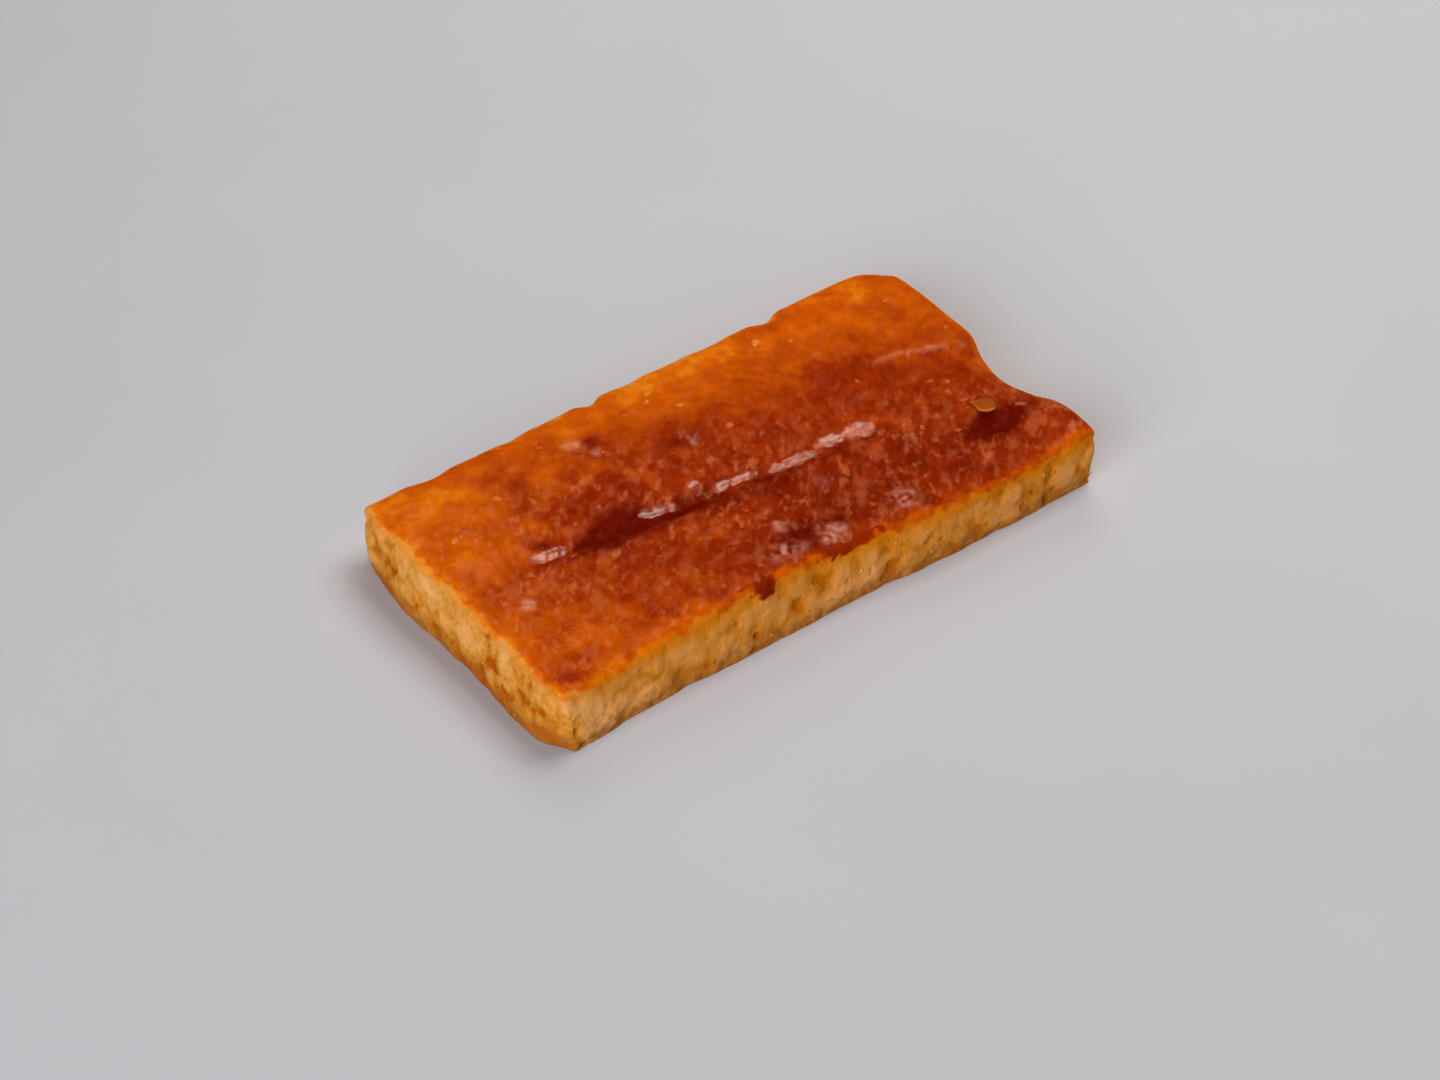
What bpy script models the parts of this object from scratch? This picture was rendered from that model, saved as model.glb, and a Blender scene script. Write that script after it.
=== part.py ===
"""One cut slice of basbousa, a flat semolina cake soaked in syrup.

The slice is a single solid: a long slab with a baked, syrup-glazed top and four sides of bare crumb.
The script works in metres with +Z up. The slice stands on Z = 0 with its length along X, and the
front, which is the long side with the straight cut, faces -Y. All sizes below are in millimetres and
are turned into metres by MM.
"""

from math import copysign, hypot, radians, sqrt

import bmesh
import bpy
from mathutils import Vector, noise

MM = 0.001

# Driving dimensions of the cut slice, in millimetres
LENGTH = 146.0
WIDTH = 77.4
EDGE_HEIGHT = 15.0

# How finely the skin of the solid is divided
CELLS_LONG = 72
CELLS_WIDE = 38
SIDE_ROWS = 8
RIM_STEP = 1.1

# Outline seen from above: each size is followed by the places where it fades in and out
LEFT_INSET = 0.6
LEFT_CORNER_TURN = 1.8
LEFT_CORNER_REACH = 6.0
RIGHT_BAY = 4.6
RIGHT_BAY_SPAN = (-12.0, 11.0)
RIGHT_STEP = 2.4
RIGHT_STEP_SPAN = (-26.0, -19.0)
RIGHT_CORNER_TURN = 0.9
RIGHT_CORNER_SPAN = (-40.0, -28.0)
BACK_CORNER_CUT = 6.5
BACK_CORNER_SPAN = (64.5, 74.5)
FRONT_SETBACK = 3.0
FRONT_SETBACK_SPAN = (4.0, 32.0)
FRONT_LEFT_RELIEF = 0.9
FRONT_LEFT_SPAN = (-70.0, -50.0)
LEFT_WAVER = 0.5
BACK_WAVER = 0.35
FRONT_WAVER = 0.25
WAVER_SIZE = 9.0
FRONT_WAVER_SIZE = 11.0

# Top edge and side faces
EDGE_RADIUS = 2.3
EDGE_DROP_SHARE = 0.62
FRONT_FOOT = 1.6
END_FOOT = 1.7
END_FOOT_SPAN = (20.0, 34.0)
END_BULGE = 1.2
END_BULGE_PLACE = -24.0
END_BULGE_REACH = 14.0
CORNER_TUCK = 3.6
CORNER_TUCK_SPAN = (1.5, 9.0)
FOOT_REACH = 12.0
FOOT_TUCK = 0.4
FOOT_TUCK_TOP = 0.25
CALM_REACH = 8.0
CALM_FULL = 2.0
CALM_SHARE = 0.6

# The scored groove that runs along the top
CREASE_START = (-64.0, -46.0)
CREASE_END = (26.0, 40.0)
CREASE_MIDDLE = (-9.0, -3.5)
CREASE_SLOPE = -0.087
CREASE_DEPTH = 2.3
CREASE_BACK_REACH = 5.0
CREASE_FRONT_REACH = 3.2
CREASE_SWAY = 0.5
CREASE_SWAY_PLACE = -34.0
CREASE_SWAY_REACH = 16.0
CREASE_WAVER_SIZE = 8.0
CREASE_GATHER = 11.0
CREASE_GATHER_START = (-70.0, -50.0)
CREASE_GATHER_END = (34.0, 52.0)
CREASE_SQUEEZE = 1.4

# The sunken fold near the right end
FOLD_MIDDLE = (57.0, 5.7)
FOLD_SLOPE = -0.24
FOLD_BEGIN = (36.0, 52.0)
FOLD_LIP = (-2.6, 1.6)
FOLD_DROP = 1.6
FOLD_END_DROP = 0.8
FOLD_END_SPAN = (58.0, 72.0)
FOLD_FRONT = (-21.9, -9.9)

# Uneven surface
WAVE_SIZE = 24.0
WAVE_HEIGHT = 0.55
LUMP_SIZE = 7.0
LUMP_HEIGHT = 0.28
TEAR_SIZE = 5.5
TEAR_STRETCH = 2.2
TEAR_DEPTH = 0.75
TEAR_CAP = 0.3
GRAIN_SIZE = 2.6
GRAIN_DEPTH = 0.35

# Soft swells and dents of the top: place along X and Y, reach along X and Y, height
TOP_SWELLS = (
    (-12.0, 18.0, 62.0, 24.0, 1.3),
    (-20.0, -32.0, 54.0, 26.0, 2.1),
    (55.0, 26.0, 30.0, 22.0, 1.6),
    (-62.0, 22.0, 22.0, 30.0, 0.5),
    (68.0, -34.0, 15.0, 14.0, 1.5),
    (-22.0, 25.0, 5.5, 6.5, -0.9),
    (-6.0, 13.0, 4.0, 6.0, -0.7),
    (55.0, -21.0, 10.0, 4.8, -1.9),
    (56.5, -17.6, 2.6, 2.4, 1.2),
    (-1.0, -30.0, 4.6, 4.4, 0.6),
    (22.0, -33.0, 4.6, 4.0, 0.6),
    (-10.0, -30.0, 5.5, 3.4, 0.5),
    (-45.0, -19.0, 14.0, 9.0, -0.5),
    (18.0, -15.0, 20.0, 9.0, -0.4),
)

# Dips cut into the back edge: place along X, reach along X, depth
BACK_DIPS = (
    (-53.0, 7.0, 0.9),
    (-32.5, 6.0, 0.9),
    (-12.0, 2.9, 2.3),
    (-1.5, 5.0, 0.6),
    (37.5, 3.6, 2.2),
)

# Lumps and pores of the side faces: place along X, Y and Z, reach, how far they stand out
SIDE_LUMPS = (
    (-72.0, 34.3, 5.2, 3.6, 2.4),
    (-72.0, -36.0, 1.2, 3.0, 1.3),
    (-20.5, -36.0, 13.6, 2.4, 0.9),
    (-43.5, -36.0, 2.6, 2.4, -1.1),
    (-28.5, -36.0, 3.2, 2.4, -1.1),
    (-40.0, -36.0, 6.0, 2.2, -0.9),
    (-5.0, -36.5, 5.7, 2.6, -0.9),
    (57.0, -39.0, 2.4, 2.8, -1.2),
    (66.5, -38.5, 2.4, 2.6, -0.9),
)


def smoothstep(low, high, value):
    """0 below low, 1 above high, and a soft step between them."""
    t = min(1.0, max(0.0, (value - low) / (high - low)))
    return t * t * (3.0 - 2.0 * t)


def before(span, value):
    """1 before the span, 0 past it."""
    return 1.0 - smoothstep(span[0], span[1], value)


def bell(distance):
    """1 at the middle, falling softly to 0 at a distance of 1."""
    return max(0.0, 1.0 - distance * distance) ** 2


# Outline of the slice, seen from above


def left_end(y):
    """The left end wavers a little and turns in at the back corner."""
    wave = LEFT_WAVER * noise.noise(Vector((5.2, y / WAVER_SIZE, 0.0)))
    corner = LEFT_CORNER_TURN * smoothstep(WIDTH / 2 - LEFT_CORNER_REACH, WIDTH / 2, y)
    return -LENGTH / 2 + LEFT_INSET + corner + wave


def right_end(y):
    """The right end bulges at the back, has a shallow bay in the middle and steps out again."""
    bay = RIGHT_BAY * before(RIGHT_BAY_SPAN, y)
    step = RIGHT_STEP * before(RIGHT_STEP_SPAN, y)
    corner = RIGHT_CORNER_TURN * before(RIGHT_CORNER_SPAN, y)
    return LENGTH / 2 - bay + step - corner


def back_edge(x):
    """The back edge is nearly straight, with its bites, and is cut off towards the right corner."""
    dips = sum(depth * bell((x - place) / reach) for place, reach, depth in BACK_DIPS)
    corner = BACK_CORNER_CUT * (1.0 - before(BACK_CORNER_SPAN, x))
    wave = BACK_WAVER * noise.noise(Vector((x / WAVER_SIZE, 3.1, 0.0)))
    return WIDTH / 2 - dips - corner + wave


def front_edge(x):
    """The rim of the knife cut in front lies further back on the left than on the right."""
    setback = FRONT_SETBACK * before(FRONT_SETBACK_SPAN, x)
    relief = FRONT_LEFT_RELIEF * before(FRONT_LEFT_SPAN, x)
    wave = FRONT_WAVER * noise.noise(Vector((x / FRONT_WAVER_SIZE, 8.7, 0.0)))
    return -WIDTH / 2 + setback - relief + wave


def spaced(place, half, cells):
    """Even steps across the slab, with one narrow step along each rim."""
    step = round((place / half + 1.0) / 2.0 * cells)
    if step in (0, cells):
        return copysign(half, place)
    inner = half - RIM_STEP
    return inner * (2.0 * (step - 1) / (cells - 2) - 1.0)


def crease_line(x):
    """Where the groove runs: almost straight, with a slight sway."""
    sway = CREASE_SWAY * bell((x - CREASE_SWAY_PLACE) / CREASE_SWAY_REACH)
    return CREASE_MIDDLE[1] + CREASE_SLOPE * (x - CREASE_MIDDLE[0]) + sway


def gathered(x, y):
    """Pulls the rows of the mesh towards the groove, so that it is cut sharply."""
    pull = (1.0 - before(CREASE_GATHER_START, x)) * before(CREASE_GATHER_END, x)
    offset = y - CREASE_MIDDLE[1]
    if abs(offset) >= CREASE_GATHER:
        return y
    share = abs(offset) / CREASE_GATHER
    squeezed = copysign(CREASE_GATHER * share**CREASE_SQUEEZE, offset)
    follow = (crease_line(x) - CREASE_MIDDLE[1]) * (1.0 - share)
    return y + pull * (squeezed + follow - offset)


def plan_place(point):
    """Moves a point of the even rectangle to its place in the uneven outline, in millimetres."""
    x = spaced(point.x / MM, LENGTH / 2, CELLS_LONG)
    y = spaced(point.y / MM, WIDTH / 2, CELLS_WIDE)
    along = x / LENGTH + 0.5
    out_x = left_end(y) * (1.0 - along) + right_end(y) * along
    out_y = y
    if y > 0.0:
        out_y += (back_edge(out_x) - WIDTH / 2) * smoothstep(0.0, WIDTH / 2, y) ** 2
    else:
        out_y += (front_edge(out_x) + WIDTH / 2) * smoothstep(0.0, WIDTH / 2, -y)
    return out_x, gathered(out_x, out_y)


# Height of the top


def crease_depth(x, y):
    """The groove has a long slope behind it and a steep lip in front, and fades at both ends."""
    fade = (1.0 - before(CREASE_START, x)) * before(CREASE_END, x)
    offset = y - crease_line(x)
    reach = CREASE_BACK_REACH if offset > 0 else CREASE_FRONT_REACH
    waver = 0.8 + 0.4 * noise.noise(Vector((x / CREASE_WAVER_SIZE, 1.7, 4.2)))
    return CREASE_DEPTH * fade * waver * bell(offset / reach)


def fold_depth(x, y):
    """Past the fold near the right end the top lies lower, and it rises again towards the front."""
    line = FOLD_MIDDLE[1] + FOLD_SLOPE * (x - FOLD_MIDDLE[0])
    begin = 1.0 - before(FOLD_BEGIN, x)
    below = before(FOLD_LIP, y - line)
    front = 1.0 - before(FOLD_FRONT, y)
    drop = FOLD_DROP + FOLD_END_DROP * (1.0 - before(FOLD_END_SPAN, x))
    return drop * begin * below * front


def swell_height(x, y):
    """Sum of the soft swells and dents."""
    return sum(
        height * bell(hypot((x - place_x) / reach_x, (y - place_y) / reach_y))
        for place_x, place_y, reach_x, reach_y, height in TOP_SWELLS
    )


def baked_unevenness(x, y):
    """Long waves and short lumps of the baked skin."""
    wave = WAVE_HEIGHT * noise.noise(Vector((x / WAVE_SIZE, y / WAVE_SIZE, 0.4)))
    lump = LUMP_HEIGHT * noise.noise(Vector((x / LUMP_SIZE, y / LUMP_SIZE, 5.3)))
    return wave + lump


def edge_drop(gap):
    """How far the rounded top edge lies below the top, a given gap in from the rim."""
    if gap >= EDGE_RADIUS:
        return 0.0
    return EDGE_DROP_SHARE * (EDGE_RADIUS - sqrt(EDGE_RADIUS**2 - (EDGE_RADIUS - gap) ** 2))


def rim_gap(x, y):
    """Distance in from the nearest edge of the outline."""
    return max(0.0, min(x - left_end(y), right_end(y) - x, back_edge(x) - y, y - front_edge(x)))


def top_height(x, y):
    """Height of the top above the base."""
    height = EDGE_HEIGHT + swell_height(x, y) + baked_unevenness(x, y)
    return height - crease_depth(x, y) - fold_depth(x, y) - edge_drop(rim_gap(x, y))


# Side faces of bare crumb


def crumb_relief(x, y, z):
    """Upright tears and coarse grains of cut crumb, in millimetres outwards."""
    tear = noise.noise(Vector((x / TEAR_SIZE, y / TEAR_SIZE, z / (TEAR_STRETCH * TEAR_SIZE))))
    grain = noise.noise(Vector((x / GRAIN_SIZE, y / GRAIN_SIZE, 7.7 + z / GRAIN_SIZE)))
    return TEAR_DEPTH * min(TEAR_CAP, tear) + GRAIN_DEPTH * grain


def side_lumps(x, y, z):
    """Clinging crumbs and open pores."""
    return sum(
        out * bell(sqrt((x - px) ** 2 + (y - py) ** 2 + (z - pz) ** 2) / reach)
        for px, py, pz, reach, out in SIDE_LUMPS
    )


def corner_share(x, y):
    """1 at the four corners and 0 a few millimetres away from them, where the sides are left calmer."""
    near_end = smoothstep(LENGTH / 2 - CALM_REACH, LENGTH / 2 - CALM_FULL, abs(x))
    near_side = smoothstep(WIDTH / 2 - CALM_REACH, WIDTH / 2 - CALM_FULL, abs(y))
    return near_end * near_side


def side_offset(x, y, z, share):
    """How far a point of a side face stands out, with share 0 at the foot and 1 at the rim."""
    tuck = FOOT_TUCK * (1.0 - smoothstep(0.0, FOOT_TUCK_TOP, share))
    calm = 1.0 - CALM_SHARE * corner_share(x, y)
    return (crumb_relief(x, y, z) * (1.0 - share**4) + side_lumps(x, y, z)) * calm - tuck


def foot_shift(x, y, share):
    """The front and the left end spread towards the foot, and the corner between them draws in."""
    low = 1.0 - share**2
    end = before((0.0, FOOT_REACH), x + LENGTH / 2)
    front = before((0.0, FOOT_REACH), y + WIDTH / 2)
    spread = END_FOOT * before(END_FOOT_SPAN, y)
    spread += END_BULGE * bell((y - END_BULGE_PLACE) / END_BULGE_REACH)
    tuck = CORNER_TUCK * before(CORNER_TUCK_SPAN, y + WIDTH / 2)
    forward = FRONT_FOOT * before(FRONT_SETBACK_SPAN, x)
    return Vector((end * (tuck - spread) * low, -front * forward * low, 0.0))


# Building the solid


def new_top_sheet(bm):
    """An even grid of the slab's length and width, moved to the outline and the height of the top."""
    bmesh.ops.create_grid(bm, x_segments=CELLS_LONG, y_segments=CELLS_WIDE, size=0.5)
    for vert in bm.verts:
        vert.co.x *= LENGTH * MM
        vert.co.y *= WIDTH * MM
    for vert in bm.verts:
        x, y = plan_place(vert.co)
        vert.co = Vector((x, y, top_height(x, y))) * MM


def outward_directions(bm):
    """The level direction that points out of the slab at each vertex of the rim."""
    found = {}
    for edge in bm.edges:
        if not edge.is_boundary:
            continue
        run = (edge.verts[1].co - edge.verts[0].co).xy.normalized()
        out = Vector((run.y, -run.x, 0.0))
        middle = (edge.verts[0].co + edge.verts[1].co) / 2.0
        if out.dot(middle - edge.link_faces[0].calc_center_median()) < 0.0:
            out.negate()
        for vert in edge.verts:
            found[vert] = found.get(vert, Vector()) + out
    return {vert: out.normalized() for vert, out in found.items()}


def carried_down(column, fresh):
    """Each fresh vertex takes over the column of the vertex that it was extruded from."""
    carried = {}
    for vert in fresh:
        above = next(edge.other_vert(vert) for edge in vert.link_edges if edge.other_vert(vert) in column)
        carried[vert] = column[above]
    return carried


def drop_sides(bm):
    """Extrudes the rim down in rows, each row pushed in or out as the crumb is torn."""
    column = {vert: (vert.co.copy(), out) for vert, out in outward_directions(bm).items()}
    rim = [edge for edge in bm.edges if edge.is_boundary]
    for row in range(1, SIDE_ROWS + 1):
        share = 1.0 - row / SIDE_ROWS
        made = bmesh.ops.extrude_edge_only(bm, edges=rim)["geom"]
        rim = [item for item in made if isinstance(item, bmesh.types.BMEdge) and item.is_boundary]
        fresh = [item for item in made if isinstance(item, bmesh.types.BMVert)]
        column = carried_down(column, fresh)
        for vert, (top, out) in column.items():
            x, y, z = top.x / MM, top.y / MM, top.z * share / MM
            offset = foot_shift(x, y, share) + out * side_offset(x, y, z, share)
            vert.co = Vector((x, y, z)) * MM + offset * MM
    bmesh.ops.edgeloop_fill(bm, edges=rim)


def stand_on_origin(bm):
    """Moves the slice so that the middle of its box stands over the origin."""
    low = Vector([min(vert.co[axis] for vert in bm.verts) for axis in range(3)])
    high = Vector([max(vert.co[axis] for vert in bm.verts) for axis in range(3)])
    middle = (low + high) / 2.0
    bmesh.ops.translate(bm, verts=bm.verts, vec=(-middle.x, -middle.y, -low.z))


def material(name, colour, roughness):
    """A plain finish for a slot of the slice."""
    made = bpy.data.materials.new(name)
    made.use_nodes = True
    shader = made.node_tree.nodes["Principled BSDF"]
    shader.inputs["Base Color"].default_value = (*colour, 1.0)
    shader.inputs["Roughness"].default_value = roughness
    shader.inputs["Metallic"].default_value = 0.0
    return made


def build_slice(collection):
    """The one solid of the slice, with the top and the crumb in their own finishes."""
    mesh = bpy.data.meshes.new("basbousa_slice")
    bm = bmesh.new()
    new_top_sheet(bm)
    drop_sides(bm)
    bmesh.ops.recalc_face_normals(bm, faces=bm.faces)
    stand_on_origin(bm)
    bm.to_mesh(mesh)
    bm.free()
    mesh.shade_smooth()
    mesh.set_sharp_from_angle(angle=radians(50.0))
    mesh.materials.append(material("baked_top", (0.55, 0.12, 0.01), 0.35))
    mesh.materials.append(material("soaked_crumb", (0.62, 0.36, 0.11), 0.85))
    for face in mesh.polygons:
        face.material_index = 0 if face.normal.z > 0.5 else 1
    piece = bpy.data.objects.new("basbousa_slice", mesh)
    collection.objects.link(piece)


def main():
    for old in list(bpy.data.objects):
        bpy.data.objects.remove(old, do_unlink=True)
    parts = bpy.data.collections.new("basbousa")
    bpy.context.scene.collection.children.link(parts)
    build_slice(parts)


main()
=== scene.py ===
"""Looks of one cut slice of basbousa, a semolina cake with a baked, syrup-glazed top.

The plain solid of the slice is loaded as a fixed frame. The pieces made here stand for it: the moist crumb,
the baked skin on it, semolina grains in the glaze, a flake of nut and loose crumbs. Places on the slice are
in millimetres in the frame of the solid, and MM turns them into metres.
"""

from math import ceil, exp, hypot, log, pi, radians
from random import Random

import bmesh
import bpy
from bpy.props import FloatProperty, FloatVectorProperty, IntProperty, PointerProperty
from bpy.types import Operator, Panel, PropertyGroup
from mathutils import Matrix, Quaternion, Vector, noise
from mathutils.bvhtree import BVHTree
from mathutils.kdtree import KDTree


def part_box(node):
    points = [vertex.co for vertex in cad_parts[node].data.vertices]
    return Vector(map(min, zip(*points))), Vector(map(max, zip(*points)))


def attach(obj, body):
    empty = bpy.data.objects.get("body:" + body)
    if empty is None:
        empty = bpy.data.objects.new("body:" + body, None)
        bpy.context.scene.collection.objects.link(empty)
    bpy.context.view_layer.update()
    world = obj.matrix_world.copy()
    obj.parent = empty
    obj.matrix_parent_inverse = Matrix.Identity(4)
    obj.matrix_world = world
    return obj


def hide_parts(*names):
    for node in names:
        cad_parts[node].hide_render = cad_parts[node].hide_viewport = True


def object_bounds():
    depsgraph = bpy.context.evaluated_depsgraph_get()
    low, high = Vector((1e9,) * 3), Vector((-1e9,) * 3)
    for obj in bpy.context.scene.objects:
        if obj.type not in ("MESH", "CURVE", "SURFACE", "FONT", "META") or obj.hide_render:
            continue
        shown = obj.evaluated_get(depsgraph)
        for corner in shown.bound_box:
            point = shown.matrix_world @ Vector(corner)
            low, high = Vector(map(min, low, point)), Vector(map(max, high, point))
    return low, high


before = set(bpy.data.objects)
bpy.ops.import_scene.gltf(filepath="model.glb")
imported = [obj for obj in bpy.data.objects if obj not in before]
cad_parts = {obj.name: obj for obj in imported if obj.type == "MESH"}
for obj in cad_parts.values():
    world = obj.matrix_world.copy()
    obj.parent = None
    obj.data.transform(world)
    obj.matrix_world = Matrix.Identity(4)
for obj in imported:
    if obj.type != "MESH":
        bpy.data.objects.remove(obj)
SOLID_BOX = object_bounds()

bl_info = {
    "name": "Basbousa slice",
    "version": (1, 0, 0),
    "blender": (4, 5, 0),
    "location": "View3D > Sidebar > Basbousa",
    "description": "Crumb, baked skin, syrup glaze and stage of a basbousa slice",
    "category": "Object",
}

MM = 0.001
SOLID = "basbousa_slice"
BODY = "root"

# The height in metres from which a surface is looked up, and the way down to it
LOOK_HEIGHT = 0.05
DOWN = Vector((0.0, 0.0, -1.0))

# Seeds of the scattered things, and of the noise that bends the clumps of the crumb
PORE_SEED = 11
GRAIN_SEED = 23
LOOSE_CRUMB_SEED = 31
CLUMP_SEED = 12

# The groove along the top: a point of its floor, its slope, its sway, and where it is deep
GROOVE_POINT = (-8.1, -3.6)
GROOVE_SLOPE = -0.087
GROOVE_SWAY = (-33.1, 16.0, 0.5)
GROOVE_SPAN = (-56.0, -48.0, 33.0, 40.0)

# How far the top is baked away from the places below, and how much paler its left end is
PLAIN_BAKE = 0.35
LEFT_PALENESS = 0.25

# Places of the top that are baked darker, or paler where the last number is below 0; the rows at the pits
# and along the groove also paint shade into these hollows: middle along X and Y, reach along X and Y, how
# much
BAKED_PLACES = (
    (32, -27, 92, 24, 0.46),
    (1, -0.5, 105, 30, 0.30),
    (-31, 2, 14.5, 30, 0.13),
    (-41.5, 23, 10.5, 13.5, 0.14),
    (-19, 22, 10, 10, 0.17),
    (-5, 14.5, 13.5, 10.5, 0.20),
    (-42, -18, 33, 24, 0.11),
    (-69, -31, 11, 13, 0.24),
    (56.5, -23, 12.5, 7.5, 0.42),
    (55.5, -20.2, 7, 3.6, 0.25),
    (-5, -28, 21, 9, 0.27),
    (40.5, 9, 18, 12, 0.15),
    (2, -11, 21, 8, 0.20),
    (-8, -14.5, 16.5, 7, -0.16),
    (-59, 9, 15, 13, -0.12),
    (-29.5, 3, 9, 4.6, 0.24),
    # Paler along the back rim: partly thin golden skin, partly a painted glow on the back edge
    (8, 35.5, 34, 11.5, -0.26),
    (-59, 30.5, 18, 15, -0.17),
    (64, -8, 12, 20, 0.13),
    (56, 31, 18, 9, -0.11),
    (-15, -3, 9, 4.5, 0.14),
    (-0.5, 12, 3, 4, 0.16),
    (-47.3, 3.5, 3.2, 2, 0.5),
    (-40.5, 0.2, 4, 1.6, 0.25),
    (53, -4, 18, 16, 0.09),
    (-25, -31, 13, 8, 0.12),
    (-29, -0.5, 14, 5.5, 0.2),
    (-19, -36.5, 5, 4.5, 0.34),
    (-56, 29, 7, 5, -0.1),
    (-48.5, 17.5, 7, 4.5, -0.1),
    (-55, -24, 11, 6, -0.1),
    (-19.5, 25, 2.6, 3.6, 0.3),
    (-4.5, 13.5, 2.4, 4, 0.14),
)

# Places of the top where syrup stands and gathers the skin into glossy lumps, with a painted sheen on them:
# middle, reach, how wet
WET_PLACES = (
    (-9.5, -31, 7, 3.6, 1),
    (2.5, -31, 5.5, 4.6, 1),
    (-3.8, -23.5, 3.2, 3.2, 0.9),
    (22.2, -31.5, 5.2, 5.2, 1),
    (-60.5, -9.5, 3.4, 3, 0.8),
    (-23.2, 25.5, 3.2, 4.8, 0.65),
    (-20.6, 20.5, 2.6, 3, 0.6),
    (-1.5, 12, 2.2, 4.6, 0.6),
    (13, -15, 3.5, 4.5, 0.25),
    (71, -15, 5, 20, 0.4),
)

# Pits of the top: middle, reach, depth
PITS = (
    (56, -23, 7, 4.4, 0.8),
    (63.5, -26.5, 3.2, 2.6, 0.5),
    (-21.5, 24, 2.6, 3.2, 0.45),
    (-47.5, 3.8, 3, 1.8, 0.5),
    (-1, 12.5, 2, 4.5, 0.4),
)

# Glossy strips low on the back flank of the groove, with a painted sheen on them: start and end along X, how
# far behind its floor, width
GLOSSY_STRIPS = (
    (-52.5, -43, 1.4, 2.2),
    (-25, -16, 1.6, 2.2),
    (-11.2, -8.6, 3.2, 3),
    (-8, 4.2, 1.2, 1.8),
    (7, 18.8, 0, 3.3),
    (19.2, 27, 1.5, 2.1),
    (26.8, 34.4, 0.8, 4),
)

# The ridge of the fold near the right end, which gets a painted sheen, from its start to its end
FOLD_LINE = (47.0, 8.4, 69.5, 2.4)

# Open pores seen in the front face: place along X, height
FRONT_PORES = ((-42.9, 2.3), (-27.9, 3.0), (-39.5, 5.7), (-3.7, 5.7), (57.8, 1.5), (69.8, 1.2))

# Large pale grains in the skin that stand out: place along X and Y, length and width
LARGE_GRAINS = (
    (8.4, 11, 2.3, 1.7),
    (31.5, 31.3, 3, 2),
    (0.6, 31, 2.2, 1.3),
    (-1.5, 28.5, 1.8, 1.1),
    (37.5, 26.5, 1.8, 1.2),
    (3.3, 23, 1.8, 1.4),
    (-29, 32, 1.7, 1.2),
    (54.6, -1.8, 1.9, 1.3),
    (55.4, -7.2, 2.3, 1.5),
    (56.2, -11.4, 2.1, 1.5),
    (63.9, -21.6, 2.6, 1.3),
    (-61.5, 15.5, 2.2, 1.5),
    (-66, 27, 1.6, 1.2),
    (-46, 22, 1.9, 1.4),
    (42, -14, 2, 1.1),
    (-28, -24, 1.9, 1.1),
    (63.5, 24.5, 1.8, 1.2),
)

# Dark skin that hangs over the rim of the front, a small tooth and a long lap: middle along X, height,
# reach along X and in height
HANGING_SKIN = (
    (-19, 15.9, 4.4, 3.9),
    (4.5, 15.3, 11, 2.6),
)

# The nut flake behind the pit near the right end, and which way its narrow end points, in degrees
FLAKE_PLACE = (57.3, -16.6)
FLAKE_TURN = 114.0

# Width of the squares of the base, and of the strip of the top that is divided finely along the rim
BASE_STEP = 1.8
RIM_STRIP = 3.2

# What each vertex of the crumb carries for its finish
CRUMB_VALUES = ("relief", "soak", "browning", "crust", "base")

# How softly the clumps of the crumb run into each other, and how often its normals are eased at the corners
CLUMP_SOFTNESS = 3.4
EASING_PASSES = 10

# The reach of the widest pore, and how far up the sides the pores and the loose crumbs lie
PORE_REACH = 1.8
PORE_TOP = 12.0
LOOSE_CRUMB_SPAN = (0.6, 11.5)

# How far the skin is baked at each of its five colours, from the palest to the darkest
SKIN_STOPS = (0.0, 0.1, 0.24, 0.6, 1.0)

# How strongly the pale flecks and painted glints show in the skin, and the size of the grains in the finish
# of the crumb
FLECK_AND_GLINT_SHARE = 0.44
GRAIN_CELL = 0.9

# Soft lights: direction, distance and size in metres, colour
LIGHTS = {
    "overhead": ((0.467, -0.02, 0.884), 0.9, 0.5, (1.0, 0.95, 0.88)),
    "back": ((0.467, 0.601, 0.649), 0.9, 0.55, (1.0, 0.83, 0.66)),
    "front": ((-0.82, -0.41, 0.40), 1.2, 0.9, (1.0, 0.98, 0.96)),
}

# The floor's radius in metres
FLOOR_RADIUS = 6.0

# The camera: its place in metres, how far it is turned and how far it looks down in degrees
CAMERA_PLACE = Vector((-0.350247, -0.446452, 0.478150))
CAMERA_AZIMUTH = -37.8606
CAMERA_TILT = 40.4511


def length_property(name, description, default):
    """A length in metres for the panel."""
    return FloatProperty(name=name, description=description, default=default, unit="LENGTH")


def count_property(name, description, default):
    """A number of small things for the panel."""
    return IntProperty(name=name, description=description, default=default)


def power_property(name, description, default):
    """The power of a light in watts for the panel."""
    return FloatProperty(name=name, description=description, default=default, unit="POWER")


def colour_property(name, description, default):
    """A colour for the panel."""
    return FloatVectorProperty(
        name=name, description=description, default=default, subtype="COLOR", size=3, min=0.0, max=1.0
    )


class SliceSizes(PropertyGroup):
    skin_thickness: length_property("Skin thickness", "Thickness of the baked skin", 0.00045)
    skin_ruggedness: length_property("Skin ruggedness", "Height of the small lumps of the skin", 0.0003)
    crumb_grain: length_property("Crumb grain", "Size of the clumps in the bare crumb", 0.0036)
    crumb_relief: length_property("Crumb relief", "How far the clumps of the crumb stand out", 0.00056)
    pore_count: count_property("Pores", "Number of open pores in the bare crumb", 130)
    grain_count: count_property("Semolina grains", "Number of grains that show in the glaze", 48)
    grain_size: length_property("Semolina grain size", "Usual length of a semolina grain", 0.0016)
    loose_count: count_property("Loose crumbs", "Number of crumbs that cling to the sides", 110)


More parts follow.
